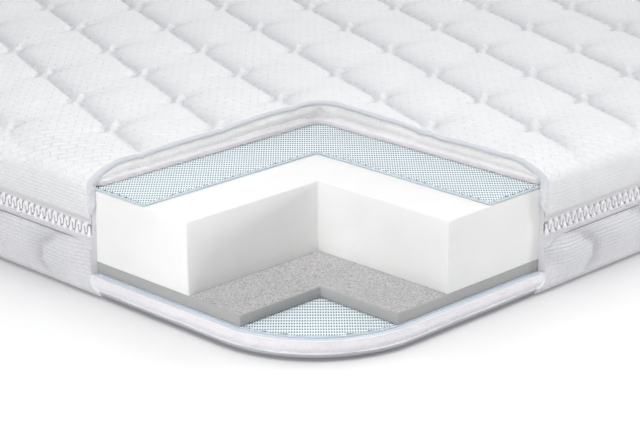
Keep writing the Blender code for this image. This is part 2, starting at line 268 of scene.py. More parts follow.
def lip_finish(name, pale, dark, top_tone=1.0):
    """The knit's cut edge: a fuzzy nap. top_tone darkens the part that is not on a side."""
    made = Finish(name, roughness=0.95, sheen=0.2, specular=0.15)
    where = made.place()
    nap = made.noise(where, 0.0022, detail=5.0, roughness=0.75)
    blotch = made.noise(where, 0.010, detail=2.0)
    tone = made.add(made.span(nap, 0.35, 0.7, 0.0, 0.7), made.span(blotch, 0.35, 0.7, 0.0, 0.4), clamp=True)
    tone = made.times(tone, made.span(made.value("on_side"), 0.0, 1.0, top_tone, 1.0))
    made.blend(tone, dark, pale)
    return made.bump(nap, 0.0012)


def band_finish():
    """Smooth edge cloth of the base, with painted shade that darkens it towards the bottom, where it turns
    under.
    """
    made = Finish("base_edge_cloth", roughness=0.7, sheen=0.1, specular=0.3)
    where = made.place()
    height = made.node("SeparateXYZ", {"Vector": where}, output="Z")
    nap = made.noise(where, 0.0020, detail=4.0, roughness=0.7)
    # painted shade: the colour darkens from the band's top down towards the floor; the nap adds its own tone
    turned = made.add(made.span(height, 0.0080, 0.0020, 0.0, 0.85), made.span(nap, 0.4, 0.7, 0.0, 0.15),
                      clamp=True)
    made.blend(turned, (0.56, 0.56, 0.605), (0.33, 0.33, 0.385))
    return made.bump(nap, 0.0006)


def fibre_finish(name, pale, dark, painted_glow):
    """Loose fibre with soft wisps and clumps, and a faint painted emission that lightens it where it lies in
    shade.
    """
    made = Finish(name, roughness=1.0, sheen=0.35, specular=0.1)
    # painted light: a faint emission lightens the fibres, most of all in the shaded pockets under the lip
    made.set(made.shader.inputs["Emission Color"], (1.0, 0.98, 0.98))
    made.set(made.shader.inputs["Emission Strength"], painted_glow)
    where = made.place()
    wisps = made.noise(where, 0.0030, detail=6.0, roughness=0.8)
    clumps = made.noise(where, 0.018, detail=2.0)
    tone = made.add(made.span(wisps, 0.36, 0.62, 0.0, 0.60), made.span(clumps, 0.40, 0.60, 0.0, 0.50),
                    clamp=True)
    made.blend(tone, dark, pale)
    return made.bump(wisps, 0.0022)


def foam_finish():
    """Moulded open-cell foam: tiny cells and a barely uneven tone."""
    made = Finish("core_foam", roughness=0.92, specular=0.2)
    where = made.place()
    cells = made.node("TexVoronoi", {"Vector": where, "Scale": 620.0}, output="Distance")
    drift = made.noise(where, 0.045, detail=2.0)
    made.blend(made.span(drift, 0.3, 0.7), (0.862, 0.862, 0.855), (0.888, 0.888, 0.884))
    return made.bump(cells, 0.0003, strength=0.6)


def felt_finish(name, ground, fleck, pit, amount):
    """Bonded felt: pressed fibres with pale flecks and dark pits."""
    made = Finish(name, roughness=0.95, sheen=0.1, specular=0.15)
    where = made.place()
    grain = made.noise(where, 0.0016, detail=4.0, roughness=0.75)
    speck = made.node("TexVoronoi", {"Vector": where, "Scale": 850.0}, output="Color")
    chance = made.node("SeparateColor", {"Color": speck}, output="Red")
    tone = made.mix(made.span(grain, 0.40, 0.62, 0.0, amount), ground, fleck)
    tone = made.mix(made.span(chance, 0.76, 0.80, 0.0, amount), tone, fleck)
    made.blend(made.span(chance, 0.20, 0.16, 0.0, amount), tone, pit)
    return made.bump(grain, 0.0010)


def thread_finish(name, pale, dark):
    """Smooth yarn of the spacer mesh, with its twist."""
    made = Finish(name, roughness=0.6, sheen=0.1, specular=0.35)
    where = made.place()
    twist = made.noise(where, 0.0014, detail=2.0)
    made.blend(made.span(twist, 0.35, 0.65), dark, pale)
    return made.bump(twist, 0.0003)


def tape_finish():
    """Woven zip tape: fine ribs along it and the weave across them."""
    made = Finish("zip_tape", roughness=0.8, sheen=0.1, specular=0.25)
    weave = made.cloth("cloth")
    ribs = made.node("TexWave", {"Vector": weave, "Scale": 140.0, "Distortion": 0.0}, output="Fac",
                     bands_direction="Y")
    picks = made.rows(weave, 0.0022, 0.0011, 0.00018, smooth=0.9)
    tone = made.add(made.span(ribs, 0.0, 0.5, 0.55, 0.0), made.times(picks, 0.35), clamp=True)
    made.blend(tone, (0.92, 0.91, 0.935), (0.70, 0.69, 0.735))
    height = made.add(made.times(ribs, 0.8), made.times(picks, -0.4))
    return made.bump(height, 0.0005)


def teeth_finish():
    """Moulded white teeth, faintly uneven from the mould."""
    made = Finish("zip_teeth", roughness=0.42, specular=0.5)
    where = made.place()
    drift = made.noise(where, 0.006, detail=2.0)
    made.blend(made.span(drift, 0.35, 0.65), (0.90, 0.89, 0.925), (0.96, 0.955, 0.975))
    return made.bump(drift, 0.0002)


def metal_finish():
    """Satin nickel plating with fine brushing."""
    made = Finish("zip_metal", roughness=0.32, metallic=1.0, specular=0.5)
    where = made.place()
    stretched = made.node("Mapping", {"Vector": where, "Scale": (1.0, 12.0, 12.0)})
    brushing = made.noise(stretched, 0.0030, detail=4.0)
    made.blend(made.span(brushing, 0.3, 0.7), (0.60, 0.61, 0.63), (0.74, 0.75, 0.77))
    made.set(made.shader.inputs["Roughness"], made.span(brushing, 0.3, 0.7, 0.26, 0.40))
    return made.bump(brushing, 0.00005)


# ---- Outlines and slabs ----------------------------------------------------------------------------
def outline(corners, inset=0.0):
    """A closed outline, counterclockwise and drawn in by inset, as places and outward normals.

    Each corner is (x, y, radius, spacing of the points on the straight after it), and turns by a right angle.
    """
    places, normals = [], []
    for i, (x, y, radius, spacing) in enumerate(corners):
        corner = np.array((x, y))
        back = np.array(corners[i - 1][:2]) - corner
        following = corners[(i + 1) % len(corners)]
        ahead = np.array(following[:2]) - corner
        length = np.linalg.norm(ahead)
        back /= np.linalg.norm(back)
        ahead /= length
        first = np.array((-back[1], back[0]))
        last = np.array((ahead[1], -ahead[0]))
        bulge = 1 if back[0] * ahead[1] - back[1] * ahead[0] < 0 else -1
        drawn = max(radius - bulge * inset, 0.00002)
        centre = corner + (back + ahead) * (bulge * inset + drawn)
        steps = max(3, math.ceil(radius * math.pi / 2 / 0.008))
        for k in range(steps + 1):
            angle = math.pi / 2 * k / steps
            normal = first * math.cos(angle) + last * math.sin(angle)
            places.append(centre + bulge * drawn * normal)
            normals.append(normal)
        straight = length - radius - following[2]
        count = max(1, math.ceil(straight / spacing))
        for k in range(1, count):
            places.append(corner + ahead * (radius + straight * k / count) - last * inset)
            normals.append(last)
    return np.array(places), np.array(normals)


def plan_corners(inset, spacing):
    """The plan's corners, drawn in by inset."""
    x, y, radius = HALF.x - inset, HALF.y - inset, CORNER_RADIUS - inset
    return [(i * x, j * y, radius, spacing) for i, j in ((1, -1), (1, 1), (-1, 1), (-1, -1))]


def cut_corners(inset, cut, plan_radius, edge_radius, fine, coarse):
    """The plan's corners, drawn in by inset, with the square cut at the lowest X and Y."""
    x, y = HALF.x - inset, HALF.y - inset
    whole = [(x, -y, plan_radius, coarse), (x, y, plan_radius, coarse), (-x, y, plan_radius, coarse)]
    return whole + [(-x, cut.y, edge_radius, fine), (cut.x, cut.y, edge_radius, fine),
                    (cut.x, -y, edge_radius, coarse)]


def cap_faces(ring, points, upward):
    """Triangles that fill a ring of points lying in one level."""
    flat = [Vector((float(points[i][0]), float(points[i][1]))) for i in ring]
    _, _, triangles, sources, _, _ = delaunay_2d_cdt(flat, [], [list(range(len(ring)))], 1, 1e-6)
    made = [[ring[sources[i][0]] for i in triangle] for triangle in triangles]
    return made if upward else [triangle[::-1] for triangle in made]


def slab(name, corners, profile, materials, unevenness=0.0, length=0.02, seed=1, caps=(0, 0), smooth=True):
    """A layer whose sides follow the profile: (how far in from the outline, height), from the top down.

    caps gives the materials of its upper and lower face.
    """
    points, rows, faces = [], [], []
    for inset, height in profile:
        places, normals = outline(corners, inset)
        solid = np.c_[places, np.full(len(places), height)]
        if (inset, height) not in (profile[0], profile[-1]):
            solid[:, :2] += normals * (ripple(solid, length, seed) * unevenness)[:, None]
        rows.append(list(range(len(points), len(points) + len(solid))))
        points.extend(solid)
    for upper, lower in zip(rows, rows[1:]):
        faces += band_faces(lower, upper, closed=True)
    kinds = [0] * len(faces)
    for row, upward, kind in ((rows[0], True, caps[0]), (rows[-1], False, caps[1])):
        filled = cap_faces(row, points, upward)
        faces += filled
        kinds += [kind] * len(filled)
    return add_piece(name, points, faces, materials, kinds, smooth)


def soft_edge(low, high, radius, steps=4, flat=0.004, middle=0, bulge=0.0):
    """A slab's profile with rounded edges: a short flat rim, the rounding, the side and the same below."""
    pairs = [(radius + flat, high)]
    for k in range(steps + 1):
        angle = math.pi / 2 * k / steps
        pairs.append((radius * (1 - math.sin(angle)), high - radius * (1 - math.cos(angle))))
    for k in range(1, middle + 1):
        share = k / (middle + 1)
        pairs.append((-bulge * math.sin(math.pi * share), high - radius - (high - low - 2 * radius) * share))
    lower = [(inset, low + high - height) for inset, height in pairs[:steps + 2]]
    return pairs + lower[::-1]


# ---- Foam, felt and mesh ---------------------------------------------------------------------------
def make_core():
    low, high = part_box("foam_core")
    corners = cut_corners(SIDE_BUILD_UP, CORE_CUT, CORNER_RADIUS - SIDE_BUILD_UP, 0.0022, 0.020, 0.060)
    upper_part = soft_edge(low.z, high.z, 0.0016, middle=3)[:9]     # its upper edge and its side
    crisp_foot = [(0.0, low.z + 0.0004), (0.0001, low.z), (0.0004, low.z - 0.0002), (0.0044, low.z - 0.0002)]
    piece = slab("foam_core_block", corners, upper_part + crisp_foot, [foam_finish()],
                 unevenness=0.00025, length=0.05, seed=4)
    seat(piece, ["foam_core"])
    return piece


def make_support():
    low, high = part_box("support_layer")
    corners = cut_corners(SIDE_BUILD_UP, SUPPORT_CUT, CORNER_RADIUS - SIDE_BUILD_UP, 0.0015, 0.006, 0.060)
    edge = felt_finish("felt_edge", (0.445, 0.445, 0.445), (0.48, 0.48, 0.48), (0.41, 0.41, 0.41), 0.4)
    face = felt_finish("felt_face", (0.435, 0.425, 0.425), (0.62, 0.61, 0.61), (0.27, 0.265, 0.27), 0.9)
    piece = slab("support_felt", corners, soft_edge(low.z, high.z, 0.0012, steps=2, flat=0.001), [edge, face],
                 unevenness=0.0004, length=0.012, seed=8, caps=(1, 1))
    seat(piece, ["support_layer"])
    return piece


MESH_PITCH = (0.0029, 0.0083)       # across and along the view's own slant, 45 degrees to the sides
MESH_HOLE = (0.00085, 0.0031)       # half width and half length of a hole
MESH_FACE = 0.0005                  # thickness of the knitted face with the holes
MESH_RIM = 0.0024


def perforated_face(inside, height, reach):
    """Points and faces of a knitted face with long holes, wherever inside(x, y) holds for a whole cell."""
    pitch = np.array(MESH_PITCH)
    along = np.array((1, 1)) / math.sqrt(2)
    across = np.array((1, -1)) / math.sqrt(2)
    count = np.ceil(reach / pitch).astype(int)
    points, faces, numbers = [], [], {}

    def corner(i, j):
        if (i, j) not in numbers:
            numbers[i, j] = len(points)
            points.append((*(FOAM_LOW.xy + Vector(across * pitch[0] * i + along * pitch[1] * j)), height))
        return numbers[i, j]

    wide, long = MESH_HOLE
    ring = [(0, -long), (wide, -long * 0.55), (wide, long * 0.55), (0, long), (-wide, long * 0.55),
            (-wide, -long * 0.55)]
    for i in range(-count[0], count[0]):
        for j in range(0, count[1]):
            centre = np.array(FOAM_LOW.xy) + across * pitch[0] * (i + 0.5) + along * pitch[1] * (j + 0.5)
            if not inside(*centre):
                continue
            a, b, c, d = corner(i, j), corner(i + 1, j), corner(i + 1, j + 1), corner(i, j + 1)
            h = len(points)
            for depth in (0.0, MESH_FACE):
                points += [(*(centre + across * u + along * v), height - depth) for u, v in ring]
            faces += [(a, b, h + 1, h, h + 5), (b, c, h + 2, h + 1), (c, d, h + 4, h + 3, h + 2),
                      (d, a, h + 5, h + 4)]
            faces += [(h + k, h + (k + 1) % 6, h + 6 + (k + 1) % 6, h + 6 + k) for k in range(6)]
    return points, faces


def mesh_finishes():
    # painted shade: the second finish is a dark sheet that stands for the shade inside the mesh
    return (thread_finish("mesh_edge", (0.64, 0.73, 0.77), (0.50, 0.60, 0.66)),
            thread_finish("mesh_inside_painted_shade", (0.13, 0.19, 0.23), (0.08, 0.12, 0.15)),
            thread_finish("mesh_thread", (0.88, 0.94, 0.96), (0.76, 0.85, 0.89)))


def make_mesh(node, name, corners, inside, reach):
    """A spacer mesh: its inside, coloured dark as painted shade seen through the holes, its pale cut edge, and
    the holes of its face where they can be seen.
    """
    low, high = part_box(node)
    profile = [(MESH_RIM, high.z - MESH_FACE), (MESH_RIM, high.z), (0.0008, high.z),
               (0.0002, high.z - 0.0003), (0.0, (low.z + high.z) / 2), (0.0002, low.z + 0.0003),
               (0.0008, low.z)]
    # painted shade: the inner finish colours the cap under the holes dark
    edge, inner, thread = mesh_finishes()
    piece = slab(name, corners, profile, [edge, inner], caps=(1, 0), smooth=False)
    seat(piece, [node])
    grid_points, grid_faces = perforated_face(inside, high.z - 0.00008, reach)
    face = add_piece(name + "_face", grid_points, grid_faces, [thread], smooth=False)
    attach(face, "mattress")
    return piece


def make_meshes():
    radius = CORNER_RADIUS - SIDE_BUILD_UP

    def on_upper(x, y):
        outside = x > FOAM_LOW.x + 0.003 and y > FOAM_LOW.y + 0.003
        past_edge = x > MESH_CUT.x + 0.002 or y > MESH_CUT.y + 0.002
        return outside and past_edge and x < LINING_CUT.x + 0.02 and y < LINING_CUT.y + 0.02

    def on_lower(x, y):
        edge_x, edge_y = x - FOAM_LOW.x - radius, y - FOAM_LOW.y - radius
        in_round = edge_x > 0 or edge_y > 0 or math.hypot(edge_x, edge_y) < radius - 0.002
        inside = x > FOAM_LOW.x + 0.002 and y > FOAM_LOW.y + 0.002
        return inside and in_round and x < SUPPORT_CUT.x + 0.01 and y < SUPPORT_CUT.y + 0.01

    corners = cut_corners(SIDE_BUILD_UP, MESH_CUT, radius, 0.002, 0.010, 0.050)
    make_mesh("upper_spacer_mesh", "upper_mesh_cloth", corners, on_upper, 0.60)
    make_mesh("lower_spacer_mesh", "lower_mesh_cloth", plan_corners(SIDE_BUILD_UP, 0.05),
              on_lower, 0.20)


# ---- Cover shells ----------------------------------------------------------------------------------
class Wrap:
    """Cloth over a flat face and round its sides.

    A place in the cloth is (a, b). Inside the plan's inner rectangle it is X and Y, and past that the larger
    overhang is the distance s along the profile, which runs outwards and then up or down the side.
    """

    def __init__(self, profile):
        pairs = np.array([(CORNER_RADIUS, profile[0][1])] + profile)
        steps = np.linalg.norm(np.diff(pairs, axis=0), axis=1)
        known = np.r_[0, np.cumsum(steps)]
        self.length = known[-1]
        self.s = np.linspace(0, self.length, 600)
        self.inset = np.interp(self.s, known, pairs[:, 0])
        self.height = np.interp(self.s, known, pairs[:, 1])
        soft = np.hanning(9) / np.hanning(9).sum()
        slope_out = np.convolve(np.pad(-np.gradient(self.inset, self.s), 4, "edge"), soft, "valid")
        slope_up = np.convolve(np.pad(np.gradient(self.height, self.s), 4, "edge"), soft, "valid")
        size = np.hypot(slope_out, slope_up)
        self.face = 1 if profile[0][1] > profile[-1][1] else -1
        self.normal_out = -slope_up / size * self.face
        self.normal_up = slope_out / size * self.face

    def at_height(self, height):
        """The distance along the profile at which its side first passes a height."""
        last = np.argmin(self.height) if self.face > 0 else np.argmax(self.height)
        side = (self.inset < 0.02) & (np.arange(len(self.s)) <= last)
        return self.s[side][np.argmin(np.abs(self.height[side] - height))]

    def place(self, a, b):
        """Places, outward normals and distance along the profile."""
        cx, cy = np.clip(a, -INNER.x, INNER.x), np.clip(b, -INNER.y, INNER.y)
        ox, oy = a - cx, b - cy
        size = np.maximum(np.hypot(ox, oy), 1e-9)
        s = np.maximum(np.abs(ox), np.abs(oy))
        out = CORNER_RADIUS - np.interp(s, self.s, self.inset)
        dx, dy = ox / size, oy / size
        points = np.c_[cx + dx * out, cy + dy * out, np.interp(s, self.s, self.height)]
        side = np.interp(s, self.s, self.normal_out)
        up = np.interp(s, self.s, self.normal_up)
        normals = np.c_[dx * side, dy * side, up]
        return points, normals / np.linalg.norm(normals, axis=1)[:, None], s


def round_plan_place(points):
    """Distance round the plan, counterclockwise from the start of the front side, of places near its edge."""
    x, y = points[:, 0], points[:, 1]
    ox, oy = x - np.clip(x, -INNER.x, INNER.x), y - np.clip(y, -INNER.y, INNER.y)
    long, short, turn = 2 * INNER.x, 2 * INNER.y, CORNER_RADIUS * math.pi / 2
    angle = np.arctan2(np.minimum(np.abs(ox), 1), np.maximum(np.abs(oy), 1e-12))
    along_corner = CORNER_RADIUS * angle
    cases = [(ox == 0) & (y < 0), (ox > 0) & (oy < 0), (ox > 0) & (oy == 0), (ox > 0) & (oy > 0),
             (ox == 0) & (y >= 0), (ox < 0) & (oy > 0), (ox < 0) & (oy == 0)]
    values = [x + INNER.x, long + along_corner, long + turn + y + INNER.y,
              long + turn + short + turn - along_corner,
              long + 2 * turn + short + INNER.x - x, 2 * long + 2 * turn + short + along_corner,
              2 * long + 3 * turn + short + INNER.y - y]
    last = 2 * long + 3 * turn + 2 * short + turn - along_corner
    return np.select(cases, values, last)


def stitch_distance(x, y):
    """Distance to the nearest stitched S, and whether the place lies on the S's upper side."""
    row = np.array((-math.sin(STITCH_ANGLE), -math.cos(STITCH_ANGLE)))
    side = np.array((-row[1], row[0]))
    east, north = x - STITCH_START.x, y - STITCH_START.y
    along = east * row[0] + north * row[1]
    across = east * side[0] + north * side[1]
    nearest = np.full(len(x), 1.0)
    upper = np.zeros(len(x))
    row_number = np.round(across / ROW_PITCH)
    for other in (-1, 0, 1):
        t = across - (row_number + other) * ROW_PITCH
        offset = along - (row_number + other) * ROW_SHIFT
        number = np.round(offset / STITCH_PITCH)
        for neighbour in (-1, 0, 1):
            s = offset - (number + neighbour) * STITCH_PITCH
            held = np.clip(s, -STITCH_HALF, STITCH_HALF)
            bend = np.maximum(np.abs(held) - HOOK_START, 0) / (STITCH_HALF - HOOK_START)
            line = -np.sign(held) * HOOK * bend ** 2
            slope = 2 * HOOK * bend / (STITCH_HALF - HOOK_START)
            distance = np.hypot((t - line) / np.sqrt(1 + slope ** 2), s - held)
            better = distance < nearest
            nearest = np.where(better, distance, nearest)
            upper = np.where(better, (t > line).astype(float), upper)
    return nearest, upper


def quilting(distance, upper, strength):
    """How far the cloth stands out, and how much painted shade darkens it by the grooves, broad on the upper
    side of a stitched curve and narrow below it.
    """
    dip = GROOVE * np.exp(-(distance / GROOVE_WIDTH) ** 2) + PUFF * np.exp(-distance / PUFF_REACH)
    # painted shade: broad on the upper side of each curve, as if the light came from the other side
    shade = np.where(upper > 0.5, 0.85 * np.exp(-distance / 0.012), 0.30 * np.exp(-distance / 0.0035))
    return (PUFF_RISE - dip) * strength, shade * strength


def top_relief(points, s):
    """The top cover's quilting, which fades out over the shoulder, and the border's soft unevenness."""
    above_hem = smoothstep(BORDER_FLOOR + 0.002, BORDER_FLOOR + 0.014, points[:, 2])
    distance, upper = stitch_distance(points[:, 0], points[:, 1])
    near_side = smoothstep(CORNER_RADIUS - 0.075, CORNER_RADIUS + 0.005, s)
    from_cut = np.maximum(points[:, 0] - CUT.x, points[:, 1] - CUT.y)
    held = 0.35 + 0.65 * smoothstep(0.0, 0.030, from_cut)
    stand, shade = quilting(distance, upper, (1 - 0.92 * near_side) * held)
    apex = np.hypot(points[:, 0] - CUT.x, points[:, 1] - CUT.y)
    stand += (0.0026 - 0.0052 * smoothstep(0.03, 0.30, apex)) * np.exp(-np.maximum(from_cut, 0) / 0.06)
    stand += ripple(points, 0.055, 21) * 0.0007 * (0.4 + near_side)
    nothing = np.zeros(len(points))
    return stand * above_hem, shade, nothing, nothing


def base_relief(points, s, edge):
    """The lower border's curved stitching, and faint quilting underneath.

    The border is drawn in towards the cut. It laps over the smooth edge cloth of the cutaway's base, whose
    share comes back last.
    """
    round_place = round_plan_place(points)
    height = points[:, 2]
    half = BORDER_TOP / 2
    half_round = 2 * INNER.x + 2 * INNER.y + CORNER_RADIUS * math.pi
    way = np.where(round_place < half_round, 1.0, -1.0)
    left_cut = 2 * half_round - CORNER_RADIUS * math.pi / 2 - (CUT.y + INNER.y)
    start = np.where(way > 0, CUT.x + INNER.x + LOBE_START, left_cut - LOBE_START)
    bow = LOBE_BULGE * (1 - ((height - half) / half) ** 2)
    along = (round_place - start) * way - bow
    offset = along - LOBE_PITCH * np.round(along / LOBE_PITCH)
    slope = 2 * LOBE_BULGE * np.abs(height - half) / half ** 2
    distance = np.abs(offset) / np.sqrt(1 + np.minimum(slope, 2.0) ** 2)
    on_border = smoothstep(edge - 0.006, edge + 0.012, s)
    stand, shade = quilting(distance, (offset > 0).astype(float), 0.75 * on_border)
    flat_distance, flat_upper = stitch_distance(points[:, 0], points[:, 1])
    under, under_shade = quilting(flat_distance, flat_upper, 0.30 * (1 - smoothstep(0.0, 0.05, s)))
    stand = stand + np.minimum(under, 0.0)
    from_cut = np.maximum(points[:, 0] - CUT.x, points[:, 1] - CUT.y)
    stand += ripple(points, 0.045, 23) * 0.0006 * on_border
    stand *= 1 - smoothstep(BORDER_TOP - 0.014, BORDER_TOP - 0.002, height)
    stand = np.maximum(stand, -0.0018 - 0.0050 * smoothstep(0.022, 0.032, height))
    tuck = 0.0085 * (1 - smoothstep(0.0, 0.045, from_cut)) * smoothstep(0.012, 0.034, height)
    overlap = -LAP - 0.004 * (1 - np.clip(height / BASE_THICKNESS, 0, 1))
    bare = (1 - smoothstep(overlap - 0.0012, overlap + 0.0004, from_cut)) * smoothstep(0.0, 0.004, s)
    stand -= 0.0022 * bare
    return stand, shade + under_shade, tuck, bare


def cloth_grid(a_lines, b_lines, removed, fillets):
    """The flat cloth as points (a, b) and faces, without the removed part, whose inner corners are round."""
    form = bmesh.new()
    grid = [[form.verts.new((a, b, 0)) for b in b_lines] for a in a_lines]
    for i in range(len(a_lines) - 1):
        middle_a = (a_lines[i] + a_lines[i + 1]) / 2
        for j in range(len(b_lines) - 1):
            middle_b = (b_lines[j] + b_lines[j + 1]) / 2
            in_fillet = any(0 < ca - middle_a < r and 0 < cb - middle_b < r for ca, cb, r in fillets)
            if in_fillet or not removed(middle_a, middle_b):
                form.faces.new((grid[i][j], grid[i + 1][j], grid[i + 1][j + 1], grid[i][j + 1]))
    steps = 7
    for corner_a, corner_b, radius in fillets:
        centre = Vector((corner_a - radius, corner_b - radius, 0))

        def in_square(face):
            spot = face.calc_center_median() - centre
            return 0 < spot.x < radius and 0 < spot.y < radius

        for k in range(steps):
            angles = (math.pi / 2 * k / steps, math.pi / 2 * (k + 1) / steps)
            ends = [centre + radius * Vector((math.cos(t), math.sin(t), 0)) for t in angles]
            across = (ends[1] - ends[0]).cross(Vector((0, 0, 1)))
            near = [f for f in form.faces if in_square(f)]
            parts = list({e for f in near for e in f.edges}) + near
            bmesh.ops.bisect_plane(form, geom=parts, plane_co=ends[0], plane_no=across, dist=1e-6)
        gone = []
        for face in form.faces:
            if in_square(face):
                spot = face.calc_center_median() - centre
                sector = min(int(math.atan2(spot.y, spot.x) / (math.pi / 2) * steps), steps - 1)
                lean = math.atan2(spot.y, spot.x) - math.pi / 2 * (sector + 0.5) / steps
                if spot.length < radius * math.cos(math.pi / 4 / steps) / math.cos(lean):
                    gone.append(face)
        bmesh.ops.delete(form, geom=gone, context="FACES")
    bmesh.ops.delete(form, geom=[v for v in form.verts if not v.link_faces], context="VERTS")
    form.verts.ensure_lookup_table()
    form.verts.index_update()
    flat = np.array([v.co.xy for v in form.verts])
    faces = [[v.index for v in f.verts] for f in form.faces]
    open_edge = {v.index for e in form.edges if len(e.link_faces) == 1 for v in e.verts}
    form.free()
    return flat, faces, open_edge


def make_shell(name, wrap, grid, relief, lip_profile, on_cut, materials):
    """A cover: the wrapped and quilted cloth, and the turned edge along its cut."""
    flat, faces, open_edge = grid
    points, normals, s = wrap.place(flat[:, 0], flat[:, 1])
    stand, shade, tuck, bare = relief(points, s)
    away = points[:, :2] - np.clip(points[:, :2], -np.array(INNER), np.array(INNER))
    away /= np.maximum(np.linalg.norm(away, axis=1), 1e-9)[:, None]
    points = points + normals * stand[:, None]
    points[:, :2] -= away * tuck[:, None]
    cut = sorted((i for i in open_edge if on_cut(*flat[i])), key=lambda i: flat[i][0] - flat[i][1])
    tangents = np.gradient(points[cut], axis=0)
    tangents /= np.linalg.norm(tangents, axis=1)[:, None]
    outward = np.cross(tangents, normals[cut]) * wrap.face
    outward /= np.linalg.norm(outward, axis=1)[:, None]
    faces = [face[::wrap.face] for face in faces]
    kinds = [2 if np.mean(bare[face]) > 0.5 else 0 for face in faces]
    row, all_points = list(cut), list(points)
    thick = lip_profile(points[cut], s[cut])
    for out, down in thick:
        fresh = points[cut] + outward * out[:, None] - normals[cut] * down[:, None]
        following = list(range(len(all_points), len(all_points) + len(cut)))
        all_points.extend(fresh)
        faces += [(row[i], following[i], following[i + 1], row[i + 1])[::wrap.face]
                  for i in range(len(cut) - 1)]
        kinds += [1] * (len(cut) - 1)
        row = following
    piece = add_piece(name, all_points, faces, materials, kinds)
    every = np.r_[np.arange(len(points)), np.tile(cut, len(thick))]
    add_uv(piece, "cloth", flat[every])
    add_uv(piece, "border", np.c_[round_plan_place(points), s][every])
    add_values(piece, "shade", shade[every])
    add_values(piece, "on_side", smoothstep(CORNER_RADIUS - 0.01, CORNER_RADIUS + 0.03, s)[every])
    return piece, {"points": points[cut], "normals": normals[cut], "outward": outward, "s": s[cut]}


SHOULDER_REACH = 0.069
SHOULDER_DROP = 0.024
HEM = 0.0014                    # radius of a border's turned hem at the zip
HEM_INSET = 0.0046              # how far the border is drawn in to meet the zip


def hem(height, way):
    """(inset, height) pairs of a border's edge: drawn in to the zip, round the hem and back inside."""
    pairs = [(0.0, height + way * 0.018), (HEM_INSET * 0.35, height + way * 0.010)]
    for k in range(7):
        angle = math.pi * k / 6
        pairs.append((HEM_INSET + HEM * (1 - math.cos(angle)), height + way * HEM * (1 - math.sin(angle))))
    return pairs + [(HEM_INSET + 2 * HEM, height + way * 3 * HEM)]


def shoulder(reach, drop, inset, height, steps=24):
    angles = [math.pi / 2 * k / steps for k in range(steps + 1)]
    return [(inset + reach * (1 - math.sin(t)), height - drop * (1 - math.cos(t))) for t in angles]


FINE_TO = (-0.10, 0.20)         # the quilting's close grid reaches this far in X and Y
FINE, COARSE = 0.0050, 0.0086


def in_bite(a, b):
    return a < CUT.x and b < CUT.y


def turned_lip(swell, thick, start, steps, tucked):
    """(out, down) pairs of a cut edge: a round section from the start angle on, then tucked in behind."""
    turns = np.linspace(start, math.pi, steps)
    return [(math.sin(t) * swell, (1 - math.cos(t)) / 2 * thick) for t in turns] + [(-tucked, thick * 1.02)]


def cut_test(ends):
    """Tells whether a place (a, b) at an open edge of the cloth is at the cut and not at the hem."""
    def on_cut(a, b):
        return a < CUT.x + 1e-6 and b < CUT.y + 1e-6 and max(-a - ends[0], -b - ends[1]) < 1e-6
    return on_cut


def make_top_fabric():
    profile = shoulder(SHOULDER_REACH, SHOULDER_DROP, 0.0, TOP - PUFF_RISE / 2) + hem(BORDER_FLOOR, 1)
    wrap = Wrap(profile)
    turn = wrap.at_height(BORDER_FLOOR + 2 * HEM)
    ends = [INNER.x + wrap.length, INNER.y + wrap.length]
    turns = [INNER.x + turn, INNER.y + turn]
    axes = []
    for k in range(2):
        axes.append(lines((-ends[k], 0.0014), (-turns[k], FINE), (-INNER[k], FINE),
                          (CUT[k] - CUT_RADIUS, FINE), (CUT[k], FINE), (FINE_TO[k], COARSE),
                          (INNER[k], COARSE), (turns[k], 0.0014), (ends[k], 0)))
    grid = cloth_grid(axes[0], axes[1], in_bite, [(CUT.x, CUT.y, CUT_RADIUS)])

    def lip(points, s):
        side = smoothstep(CORNER_RADIUS - 0.06, CORNER_RADIUS + 0.01, s)
        open_end = 1 - smoothstep(turn - 0.008, turn + 0.002, s)
        thick = (0.0054 + 0.0068 * side + ripple(points, 0.035, 31) * 0.0005) * open_end + 0.0010
        swell = (0.0028 + ripple(points, 0.050, 33) * 0.0005) * open_end + 0.0002
        return turned_lip(swell, thick, 0.35, 10, 0.0035 * open_end + 0.0005)

    knit = knit_finish("cover_knit", (0.945, 0.952, 0.965), (0.77, 0.78, 0.805), (0.63, 0.64, 0.68))
    edge = lip_finish("cover_cut_edge", (0.90, 0.905, 0.925), (0.68, 0.69, 0.735), top_tone=0.15)
    piece, path = make_shell("top_cover_quilted", wrap, grid, top_relief, lip, cut_test(ends), [knit, edge])
    seat(piece, ["top_cover_fabric"])
    return path


